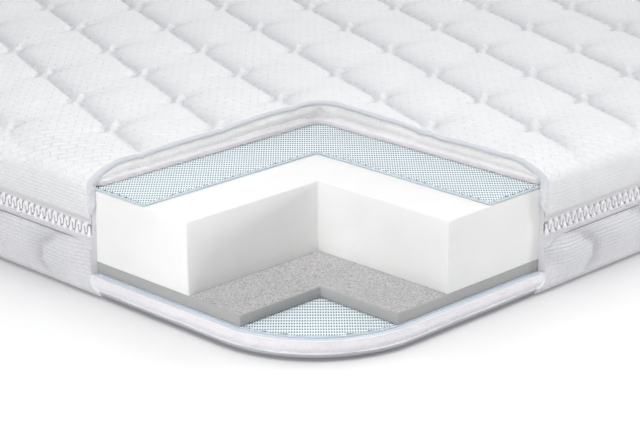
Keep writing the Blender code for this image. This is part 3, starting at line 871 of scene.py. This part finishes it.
def make_bottom_fabric():
    round_edge = 0.010
    low_edge = [(round_edge * (1 - math.sin(t)), round_edge * (1 - math.cos(t)))
                for t in np.linspace(0, math.pi / 2, 9)]
    wrap = Wrap(low_edge + hem(BORDER_TOP, -1))
    edge = wrap.at_height(BASE_THICKNESS)
    turn = wrap.at_height(BORDER_TOP - 2 * HEM)
    ends, turns, edges = ([INNER[k] + distance for k in range(2)] for distance in (wrap.length, turn, edge))
    axes = []
    for k in range(2):
        axes.append(lines((-ends[k], 0.0014), (-turns[k], 0.0040), (-edges[k] - LAP, 0.0025),
                          (-edges[k], 0.0030), (-INNER[k], 0.0060), (CUT[k] - 0.020, 0.0014),
                          (CUT[k] + 0.003, 0.0060), (CUT[k] + 0.18, 0.0105), (INNER[k] - 0.02, 0.0105),
                          (INNER[k], 0.0040), (turns[k], 0.0014), (ends[k], 0)))

    def removed(a, b):
        return a < CUT.x and b < CUT.y and (a < -edges[0] or b < -edges[1])

    grid = cloth_grid(axes[0], axes[1], removed, [(-edges[0], CUT.y, LAP), (CUT.x, -edges[1], LAP)])

    def lip(points, s):
        open_end = 1 - smoothstep(turn - 0.006, turn + 0.002, s)
        inner = np.clip(points[:, :2], -np.array(INNER), np.array(INNER))
        to_foam = SIDE_BUILD_UP - 0.0005 - CORNER_RADIUS + np.linalg.norm(points[:, :2] - inner, axis=1)
        upright = smoothstep(0.010, 0.024, points[:, 2])
        thick = 0.0045 + (np.clip(to_foam, 0.0045, 0.012) - 0.0045) * upright
        thick = (thick + ripple(points, 0.030, 41) * 0.0003) * open_end + 0.0010
        swell = 0.0014 * open_end + 0.0002
        return turned_lip(swell, thick, 0.4, 6, 0.0018 * open_end + 0.0002)

    def relief(points, s):
        return base_relief(points, s, edge)

    knit = knit_finish("base_knit", (0.86, 0.86, 0.89), (0.62, 0.62, 0.67), (0.46, 0.46, 0.51))
    # painted highlight: the cut edge is coloured paler than the knit, as a highlight line along the top of the
    # base and the border's cut
    rim = lip_finish("base_cut_edge_highlight", (0.95, 0.95, 0.965), (0.84, 0.84, 0.87))
    piece, _ = make_shell("bottom_cover_quilted", wrap, grid, relief, lip, cut_test(ends),
                          [knit, rim, band_finish()])
    seat(piece, ["bottom_cover_fabric"])


# ---- Wadding and linings ---------------------------------------------------------------------------
def strands(path_points, path_outward, path_down, count, depth, finish, name, length, half_width, seed):
    """Loose fibres that stand out of a cut wall: thin ribbons that curl as they go."""
    chance = np.random.default_rng(seed)
    points, faces = [], []
    pick = chance.integers(0, len(path_points) - 1, count)
    for i in pick:
        share = chance.uniform()
        base = path_points[i] * (1 - share) + path_points[i + 1] * share
        out, down = path_outward[i], path_down[i]
        along = path_points[i + 1] - path_points[i]
        along = along / max(np.linalg.norm(along), 1e-9)
        base = base + down * chance.uniform(*depth)
        heading = out * chance.uniform(0.15, 0.7) + along * chance.normal(0, 1.0)
        heading += down * chance.normal(0, 0.45)
        heading /= np.linalg.norm(heading)
        curl = out * chance.normal(-0.4, 0.4) + down * chance.normal(0.2, 0.5)
        size = length * chance.uniform(0.5, 1.3)
        width = np.cross(heading, out)
        width = width / max(np.linalg.norm(width), 1e-6) * half_width
        first = len(points)
        for k in range(4):
            t = k / 3
            spot = base + heading * size * t + curl * size * 0.5 * t * t
            points += [spot - width * (1 - 0.6 * t), spot + width * (1 - 0.6 * t)]
        for k in range(3):
            start = first + 2 * k
            faces.append((start, start + 1, start + 3, start + 2))
    return add_piece(name, points, faces, [finish])


def make_wadding(path):
    """The greyish wadding under the knit: its upper face and its uneven wall along the covers' cut."""
    fibre = fibre_finish("wadding_fibre", (0.985, 0.97, 0.955), (0.80, 0.785, 0.775), 0.10)
    profile = shoulder(SHOULDER_REACH - 0.004, SHOULDER_DROP, 0.0045, SKIN_FLOOR - 0.0012, steps=8)
    wrap = Wrap(profile + [(0.0045, BORDER_FLOOR + 0.012)])
    ends = [INNER.x + wrap.length, INNER.y + wrap.length]
    bends = [end - 0.045 for end in ends]
    axes = []
    for k in range(2):
        axes.append(lines((-ends[k], 0.02), (-bends[k], 0.01), (-INNER[k], 0.01), (CUT[k], 0.12),
                          (INNER[k], 0.02), (bends[k], 0.02), (ends[k], 0)))
    flat, faces, _ = cloth_grid(axes[0], axes[1], in_bite, [(CUT.x, CUT.y, 0.026)])
    points = list(wrap.place(flat[:, 0], flat[:, 1])[0])
    shown = path["s"] < CORNER_RADIUS + 0.008
    cut, normals, outward, s = (path[key][shown] for key in ("points", "normals", "outward", "s"))
    skin = 0.0050
    thick = 0.0172 - 0.0110 * smoothstep(CORNER_RADIUS - 0.05, CORNER_RADIUS, s)
    before_lining = np.minimum(LINING_CUT.x - cut[:, 0], LINING_CUT.y - cut[:, 1]).clip(0)
    wall = []
    for k in range(9):
        share = k / 8
        bulge = 0.0004 + 0.0022 * math.sin(math.pi * min(1, share * 1.15)) - before_lining * share
        spot = cut + outward * bulge[:, None] - normals * (skin + thick * share)[:, None]
        wall.append(spot + outward * (ripple(spot, 0.006, 51) * 0.0005)[:, None])
    wall.append(cut - outward * 0.02 - normals * (skin + thick)[:, None])
    count = len(cut)
    for row in wall[:-1]:
        first = len(points)
        faces += [(i, i + count, i + count + 1, i + 1) for i in range(first, first + count - 1)]
        points.extend(row)
    points.extend(wall[-1])
    piece = add_piece("top_wadding_layer", points, faces, [fibre])
    seat(piece, ["top_cover_wadding"])
    flat_part = s < CORNER_RADIUS - 0.030
    edge = (cut - normals * skin)[flat_part]
    fuzz = strands(edge, outward[flat_part], -normals[flat_part], 4800, (0.001, 0.0145), fibre,
                   "wadding_fuzz", 0.0045, 0.00016, 61)
    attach(fuzz, "mattress")


def make_lining():
    """The pinker, softer lining under the wadding."""
    fibre = fibre_finish("lining_fibre", (0.985, 0.95, 0.97), (0.90, 0.86, 0.89), 0.12)
    low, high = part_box("top_cover_lining")
    corners = cut_corners(0.0150, LINING_CUT, CORNER_RADIUS - 0.015, 0.013, 0.0030, 0.060)
    profile = soft_edge(low.z, high.z + 0.0042, 0.0034, middle=3, bulge=0.0016)
    piece = slab("top_lining_layer", corners, profile, [fibre], unevenness=0.0006, length=0.008, seed=53)
    seat(piece, ["top_cover_lining"])
    places, normals = outline(corners)
    near = (places[:, 0] < LINING_CUT.x + 0.001) & (places[:, 1] < LINING_CUT.y + 0.001)
    edge = np.c_[places[near], np.full(near.sum(), high.z)]
    out = np.c_[normals[near], np.zeros(near.sum())]
    down = np.tile((0.0, 0.0, -1.0), (near.sum(), 1))
    fuzz = strands(edge, out, down, 4200, (-0.0035, 0.0080), fibre, "lining_fuzz", 0.0040, 0.00026, 63)
    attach(fuzz, "mattress")


def make_base_layers():
    """The bottom cover's wadding and its thin lining, whose edge carries a painted highlight."""
    low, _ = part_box("bottom_cover_wadding")
    lining_low, lining_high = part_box("bottom_cover_lining")
    top = lining_low.z - 0.0003
    fibre = fibre_finish("base_fibre", (0.97, 0.945, 0.98), (0.87, 0.845, 0.89), 0.05)
    wadding = slab("base_wadding_layer", plan_corners(0.0046, 0.010),
                   soft_edge(low.z - 0.0006, top + 0.0004, 0.0014, middle=4, bulge=0.0020), [fibre],
                   unevenness=0.0003, length=0.03, seed=71)
    seat(wadding, ["bottom_cover_wadding"])
    # painted highlight: the lining's edge is coloured near white, lighter than its faces, as a highlight line
    # along the base
    highlight_edge_finish = lip_finish("base_lining_highlight_edge", (0.98, 0.975, 0.99), (0.92, 0.91, 0.94))
    calm = lip_finish("base_lining_face", (0.78, 0.80, 0.87), (0.70, 0.72, 0.80))
    inset = 0.0056
    lining = slab("base_lining_sheet", plan_corners(inset, 0.020),
                  soft_edge(lining_low.z, lining_high.z + 0.0006, 0.0007, steps=2, flat=0.001),
                  [highlight_edge_finish, calm], unevenness=0.0002, length=0.03, seed=73, caps=(1, 1))
    seat(lining, ["bottom_cover_lining"])
    return wadding, lining


# ---- The zip ---------------------------------------------------------------------------------------
TAPE_DEPTH = (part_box("upper_front_tape")[0].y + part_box("upper_front_tape")[1].y) / 2 + HALF.y
TAPE_FACE = TAPE_DEPTH - 0.0006                                         # its outer face
TAPE_REACH = 0.0255                                                     # its far edge, from the zip's middle
LOWER_FLAP = (0.0560, 0.0040)                                           # reach and inset of its far edge
TOOTH_PITCH = 0.0110
PLAN_LENGTH = 4 * (INNER.x + INNER.y) + 2 * math.pi * CORNER_RADIUS
FRONT_CUT = CUT.x + INNER.x                                             # distances round the plan
LEFT_CUT = PLAN_LENGTH - CORNER_RADIUS * math.pi / 2 - (CUT.y + INNER.y)
ROUND_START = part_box("start_stop")[1].x + INNER.x + 0.0003
FRONT_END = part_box("upper_end_stop")[0].x + INNER.x - 0.0003
TAPE_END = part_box("upper_front_tape")[1].x + INNER.x


def side_place(distance, inset):
    """Places and outward normals round the plan at a distance from the start of the front side."""
    long, short, turn = 2 * INNER.x, 2 * INNER.y, CORNER_RADIUS * math.pi / 2
    places, normals = [], []
    for p in distance:
        angle = -math.pi / 2
        corner = Vector((-INNER.x, -INNER.y))
        walk = p
        for span, step in ((long, Vector((1, 0))), (short, Vector((0, 1))), (long, Vector((-1, 0))),
                           (short, Vector((0, -1)))):
            if walk <= span:
                corner = corner + step * walk
                break
            corner, walk = corner + step * span, walk - span
            if walk <= turn:
                angle += walk / CORNER_RADIUS
                break
            angle, walk = angle + math.pi / 2, walk - turn
        normal = np.array((math.cos(angle), math.sin(angle)))
        normals.append(normal)
        places.append(np.array(corner) + normal * (CORNER_RADIUS - inset))
    return np.array(places), np.array(normals)


def tape_strip(node, start, end, side, finish):
    """A tape from the teeth to behind the border, with two cords woven along it.

    A flap folded in at the cut closes the gap to the foam. The lower tape's reaches down beside the border.
    """
    distance = np.array(lines((start, 0.012), (end, 0)))
    profile = [(0.0068, 0.0000), (0.0088, 0.0006), (0.0100, 0.0012), (0.0113, 0.0002), (0.0124, 0.0010),
               (0.0137, 0.0002), (0.0148, 0.0008), (0.0160, 0.0000), (0.0205, -0.0004), (TAPE_REACH, -0.0004)]
    points, flat, faces, rows = [], [], [], []
    for rise, proud in profile:
        places, _ = side_place(distance, TAPE_FACE - proud)
        rows.append(range(len(points), len(points) + len(distance)))
        points.extend(np.c_[places, np.full(len(distance), ZIP_HEIGHT + side * rise)])
        flat.extend(np.c_[distance, np.full(len(distance), rise)])
    for first, second in zip(rows, rows[1:]):
        faces += [face[::side] for face in band_faces(first, second, closed=False)]
    faces.append(range(len(points), len(points) + 4))
    cut = min(distance, key=lambda d: min(abs(d - FRONT_CUT), abs(d - LEFT_CUT)))
    far_rise, far_inset = (TAPE_REACH, TAPE_FACE) if side > 0 else LOWER_FLAP
    for rise, inset in ((0.0, TAPE_FACE), (0.0, SIDE_BUILD_UP), (far_rise, SIDE_BUILD_UP),
                        (far_rise, far_inset)):
        points.append((*side_place([cut], inset)[0][0], ZIP_HEIGHT + side * rise))
        flat.append((cut + inset, rise))
    piece = add_piece(node + "_weave", points, faces, [finish])
    add_uv(piece, "cloth", flat)
    seat(piece, [node])


def tooth_shape():
    """One tooth: (height from the outer end, half width, half depth, how proud), from the bulb to the tip."""
    sections = [(0.0000, 0.0010, 0.0008, 0.0000), (0.0005, 0.0024, 0.0019, 0.0002),
                (0.0018, 0.0033, 0.0027, 0.0006), (0.0036, 0.0034, 0.0028, 0.0008),
                (0.0054, 0.0026, 0.0023, 0.0005), (0.0072, 0.0018, 0.0019, 0.0001),
                (0.0100, 0.0016, 0.0018, 0.0000), (0.0122, 0.0018, 0.0019, 0.0000),
                (0.0136, 0.0015, 0.0016, 0.0000), (0.0142, 0.0006, 0.0007, 0.0000)]
    around = 10
    points, faces = [], []
    for rise, wide, deep, proud in sections:
        for k in range(around):
            angle = 2 * math.pi * k / around
            points.append((wide * math.cos(angle), proud + deep * math.sin(angle), rise))
    for level in range(len(sections) - 1):
        for k in range(around):
            low, high = level * around, (level + 1) * around
            faces.append((low + k, low + (k + 1) % around, high + (k + 1) % around, high + k))
    faces += [list(range(around))[::-1], list(range(len(points) - around, len(points)))]
    return np.array(points), faces


def tooth_row(node, start, end, side, finish):
    shape, shape_faces = tooth_shape()
    shift = 0.0 if side > 0 else TOOTH_PITCH / 2
    first = math.ceil((start + 0.003 - shift) / TOOTH_PITCH)
    last = math.floor((end - 0.003 - shift) / TOOTH_PITCH)
    distance = np.array([shift + TOOTH_PITCH * n for n in range(first, last + 1)])
    places, normals = side_place(distance, TAPE_DEPTH - 0.0004)
    points, faces = [], []
    outer_end = 0.0093
    for place, normal in zip(places, normals):
        tangent = np.array((-normal[1], normal[0]))
        faces += [[len(points) + i for i in face[::-side]] for face in shape_faces]
        spread = place + shape[:, :1] * tangent + shape[:, 1:2] * normal
        points.extend(np.c_[spread, ZIP_HEIGHT + side * (outer_end - shape[:, 2])])
    seat(add_piece(node + "_row", points, faces, [finish]), [node])


def make_zip():
    tape, teeth = tape_finish(), teeth_finish()
    for side, name in ((1, "upper"), (-1, "lower")):
        tape_strip(f"{name}_front_tape", FRONT_CUT, TAPE_END - 0.0003, side, tape)
        tape_strip(f"{name}_round_tape", TAPE_END + 0.0003, LEFT_CUT, side, tape)
        tooth_row(f"{name}_front_teeth", FRONT_CUT, FRONT_END, side, teeth)
        tooth_row(f"{name}_round_teeth", ROUND_START, LEFT_CUT, side, teeth)
    make_zip_ends(tape, teeth)
    metal = metal_finish()
    make_slider(metal)
    make_pull(metal)


def link_crisp(name, mesh):
    mesh.shade_smooth()
    mesh.set_sharp_from_angle(angle=math.radians(40))
    return link(name, mesh)


def plate(name, outline_points, axis_y, thickness, finish, bevel, holes=()):
    """A flat plate in the plane of the zip, with rounded edges. outline_points are (x, z)."""
    curve = bpy.data.curves.new(name, "CURVE")
    curve.dimensions = "2D"
    curve.fill_mode = "BOTH"
    curve.extrude = thickness / 2 - bevel
    curve.bevel_depth = bevel
    curve.bevel_resolution = 2
    curve.offset = -bevel
    for loop in (outline_points, *holes):
        spline = curve.splines.new("POLY")
        spline.points.add(len(loop) - 1)
        for point, (x, z) in zip(spline.points, loop):
            point.co = (x, z, 0, 1)
        spline.use_cyclic_u = True
    made = link(name + "_curve", curve)
    made.rotation_euler = (math.pi / 2, 0, 0)
    made.location = (0, axis_y, 0)
    bpy.context.view_layer.update()
    mesh = bpy.data.meshes.new_from_object(made.evaluated_get(bpy.context.evaluated_depsgraph_get()))
    mesh.transform(made.matrix_world)
    bpy.data.objects.remove(made)
    mesh.name = name
    mesh.materials.clear()
    mesh.materials.append(finish)
    form = bmesh.new()
    form.from_mesh(mesh)
    bmesh.ops.remove_doubles(form, verts=form.verts, dist=1e-6)
    form.to_mesh(mesh)
    form.free()
    return link_crisp(name, mesh)


def arc(x, z, radius, first, last, steps=8):
    angles = [math.radians(first + (last - first) * k / steps) for k in range(steps + 1)]
    return [(x + radius * math.cos(t), z + radius * math.sin(t)) for t in angles]


def join(name, pieces):
    """One mesh from several separate parts of the same casting."""
    points, faces = [], []
    finish = pieces[0].data.materials[0]
    for piece in pieces:
        start = len(points)
        points += [piece.matrix_world @ v.co for v in piece.data.vertices]
        faces += [[start + i for i in f.vertices] for f in piece.data.polygons]
        bpy.data.objects.remove(piece)
    made = add_piece(name, points, faces, [finish])
    made.data.set_sharp_from_angle(angle=math.radians(40))
    return made


def soft_box(name, low, high, finish, radius):
    form = bmesh.new()
    bmesh.ops.create_cube(form, size=1.0)
    bmesh.ops.scale(form, vec=Vector(high) - Vector(low), verts=form.verts)
    bmesh.ops.translate(form, vec=(Vector(high) + Vector(low)) / 2, verts=form.verts)
    bmesh.ops.bevel(form, geom=list(form.edges), offset=radius, segments=3, profile=0.5, affect="EDGES")
    mesh = bpy.data.meshes.new(name)
    form.to_mesh(mesh)
    form.free()
    mesh.materials.append(finish)
    return link_crisp(name, mesh)


def make_zip_ends(tape, teeth):
    low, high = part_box("zip_end_patch")
    patch = soft_box("zip_end_patch_weave", low, high, tape, 0.0005)
    add_uv(patch, "cloth", [(v.co.x, v.co.z) for v in patch.data.vertices])
    seat(patch, ["zip_end_patch"])
    for node in ("upper_end_stop", "lower_end_stop", "start_stop"):
        low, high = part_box(node)
        seat(soft_box(node + "_moulding", low, high, teeth, 0.0011), [node])


def make_slider(metal):
    """The slider: a front and a back plate, a web, folded rims and the bridge that the pull hangs on."""
    low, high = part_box("zip_slider")
    middle_x = (low.x + high.x) / 2
    half_long, half_high = (high.x - low.x) / 2, (high.z - low.z) / 2
    plate_y, back_y = -HALF.y + 0.0045, high.y
    thick = 0.0014
    nose = arc(middle_x + half_long - 0.006, ZIP_HEIGHT + half_high * 0.62 - 0.006, 0.006, 0, 70)
    tail = arc(middle_x - half_long + 0.004, ZIP_HEIGHT + half_high - 0.004, 0.004, 95, 180)
    shape = both_halves(nose + tail)
    body = [plate("slider_front", shape, plate_y + thick / 2, thick, metal, 0.0004),
            plate("slider_back", shape, back_y - thick / 2, thick, metal, 0.0004),
            soft_box("slider_web", (middle_x - half_long * 0.5, plate_y + thick * 0.5, ZIP_HEIGHT - 0.0006),
                     (middle_x + half_long * 0.8, back_y - thick * 0.5, ZIP_HEIGHT + 0.0006), metal, 0.0003)]
    rim_start = middle_x - half_long + 0.002
    for way in (1, -1):
        edge = ZIP_HEIGHT + way * half_high
        inner = edge - way * thick
        rim_end = (rim_start + half_long * 0.80, TAPE_DEPTH - HALF.y - 0.0009, max(edge, inner))
        body.append(soft_box("slider_rim", (rim_start, plate_y + 0.0003, min(edge, inner)), rim_end, metal,
                             0.0004))
    bridge_long, bridge_wide, bar = 0.0060, 0.0020, 0.0012
    crest = plate_y - 0.0029
    bottom, top = ZIP_HEIGHT - bridge_wide, ZIP_HEIGHT + bridge_wide
    for way in (1, -1):
        end = middle_x + way * bridge_long
        body.append(soft_box("bridge_leg", (min(end, end - way * thick), crest - bar, bottom),
                             (max(end, end - way * thick), plate_y + 0.0006, top), metal, 0.0004))
    body.append(soft_box("bridge_bar", (middle_x - bridge_long, crest - bar, bottom),
                         (middle_x + bridge_long, crest, top), metal, 0.0005))
    seat(join("slider_casting", body), ["zip_slider"], "slider")


def both_halves(upper):
    """A closed outline from its upper half and the mirror of it below the zip's middle."""
    return upper + [(x, 2 * ZIP_HEIGHT - z) for x, z in upper[::-1]]


def make_pull(metal):
    """The pull tab: a window that rides on the bridge's leg, a neck, and a round tip with a slot."""
    slider_low, slider_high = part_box("zip_slider")
    low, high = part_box("zip_pull")
    middle_x = (slider_low.x + slider_high.x) / 2
    wide, neck = 0.0060, 0.0046
    start, end = middle_x + 0.0008, middle_x - (high.x - low.x - 0.0008)
    top = [(start, neck - 0.0008), (start - 0.0008, neck), (start - 0.0125, neck),
           (start - 0.0150, wide - 0.0004)]
    tip = arc(end + wide, 0.0, wide, 90, 180, 6)
    upper = [(x, ZIP_HEIGHT + z) for x, z in top + tip[:-1]]
    whole = both_halves(upper)
    whole.insert(len(upper), (end, ZIP_HEIGHT))
    bar_side = middle_x - 0.0009
    window = arc(middle_x - 0.0115, ZIP_HEIGHT, 0.0026, 90, 270)
    window += [(bar_side, ZIP_HEIGHT - 0.0026), (bar_side, ZIP_HEIGHT + 0.0026)]
    slot = arc(end + 0.0090, ZIP_HEIGHT, 0.0022, 90, 270) + arc(end + 0.0150, ZIP_HEIGHT, 0.0022, -90, 90)
    pull = plate("pull_tab", whole, (low.y + high.y) / 2, 0.0014, metal, 0.0003, holes=(window, slot))
    seat(pull, ["zip_pull"], "pull")


# ---- Stage -----------------------------------------------------------------------------------------
def make_stage():
    mesh = bpy.data.meshes.new("floor")
    form = bmesh.new()
    bmesh.ops.create_grid(form, x_segments=1, y_segments=1, size=30.0)
    form.to_mesh(mesh)
    form.free()
    floor = link("floor", mesh)
    floor.location.z = -0.0005
    paint = Finish("studio_floor", roughness=1.0, specular=0.0)
    # painted shadow: an ambient-occlusion node darkens the floor's colour near the mattress into a soft contact
    # shadow
    near = paint.node("AmbientOcclusion", {"Distance": 0.110}, output="AO", samples=16)
    paint.colour(paint.mix(paint.span(near, 0.45, 1.0), (0.54, 0.54, 0.55), (0.85, 0.85, 0.85)))
    paint.set(paint.shader.inputs["Emission Color"], (1.0, 1.0, 1.0))
    paint.set(paint.shader.inputs["Emission Strength"], 0.12)
    mesh.materials.append(paint.material)


def add_light(name, place, target, size, power, spread=180.0):
    """A round softbox. A small spread, in degrees, makes a pool of light with soft edges."""
    light = bpy.data.lights.new(name, "AREA")
    light.shape = "DISK"
    light.size = size
    light.energy = power
    light.spread = math.radians(spread)
    made = link(name, light)
    made.visible_camera = False
    made.location = place
    made.rotation_euler = (Vector(target) - Vector(place)).to_track_quat("-Z", "Y").to_euler()


def make_lights():
    world = bpy.data.worlds.new("studio")
    bpy.context.scene.world = world
    world.use_nodes = True
    world.node_tree.nodes["Background"].inputs["Color"].default_value = (0.98, 0.99, 1.0, 1.0)
    world.node_tree.nodes["Background"].inputs["Strength"].default_value = 0.29
    add_light("key", (-3.4, -0.55, 0.75), (-0.95, -0.30, 0.08), 0.9, 20.5)
    add_light("pool", (-3.4, -0.50, 0.50), (-0.9, -0.50, 0.08), 0.2, 0.018, spread=7.0)
    add_light("over_front", (-1.15, -0.95, 1.8), (-0.8, -0.5, 0.1), 1.4, 22.5)
    add_light("over_back", (0.9, 1.2, 2.0), (-0.5, -0.3, 0.1), 1.6, 20.0)
    add_light("right", (5.4, -3.95, 1.40), (-0.5, -0.6, 0.08), 1.8, 173.0)
    add_light("beside_cut", (-0.12, -2.40, 0.32), (-0.45, -0.70, 0.08), 0.25, 0.035, spread=22.0)


def make_camera():
    """Looks across the cutaway corner, from about 20 degrees above."""
    data = bpy.data.cameras.new("camera")
    data.lens = 123.75
    data.sensor_width = 36.0
    data.clip_start, data.clip_end = 0.05, 100.0
    camera = link("camera", data)
    turn, lift, distance = math.radians(45.37), math.radians(20.11), 2.597
    forward = Vector((math.sin(turn) * math.cos(lift), math.cos(turn) * math.cos(lift), -math.sin(lift)))
    corner = Vector((CORE_CUT.x, CORE_CUT.y, FOAM_LOW.z))
    camera.location = corner - forward * distance
    aim = corner + Vector((0.0014, -0.0014, 0.0462))
    camera.rotation_euler = (aim - camera.location).to_track_quat("-Z", "Y").to_euler()
    bpy.context.scene.camera = camera


def main():
    make_camera()
    make_lights()
    make_stage()
    core = make_core()
    make_support()
    base_wadding, base_lining = make_base_layers()
    make_meshes()
    path = make_top_fabric()
    make_wadding(path)
    make_lining()
    make_bottom_fabric()
    make_zip()
    bpy.context.scene.view_settings.view_transform = "Standard"
    bpy.context.scene.view_settings.look = "None"


main()
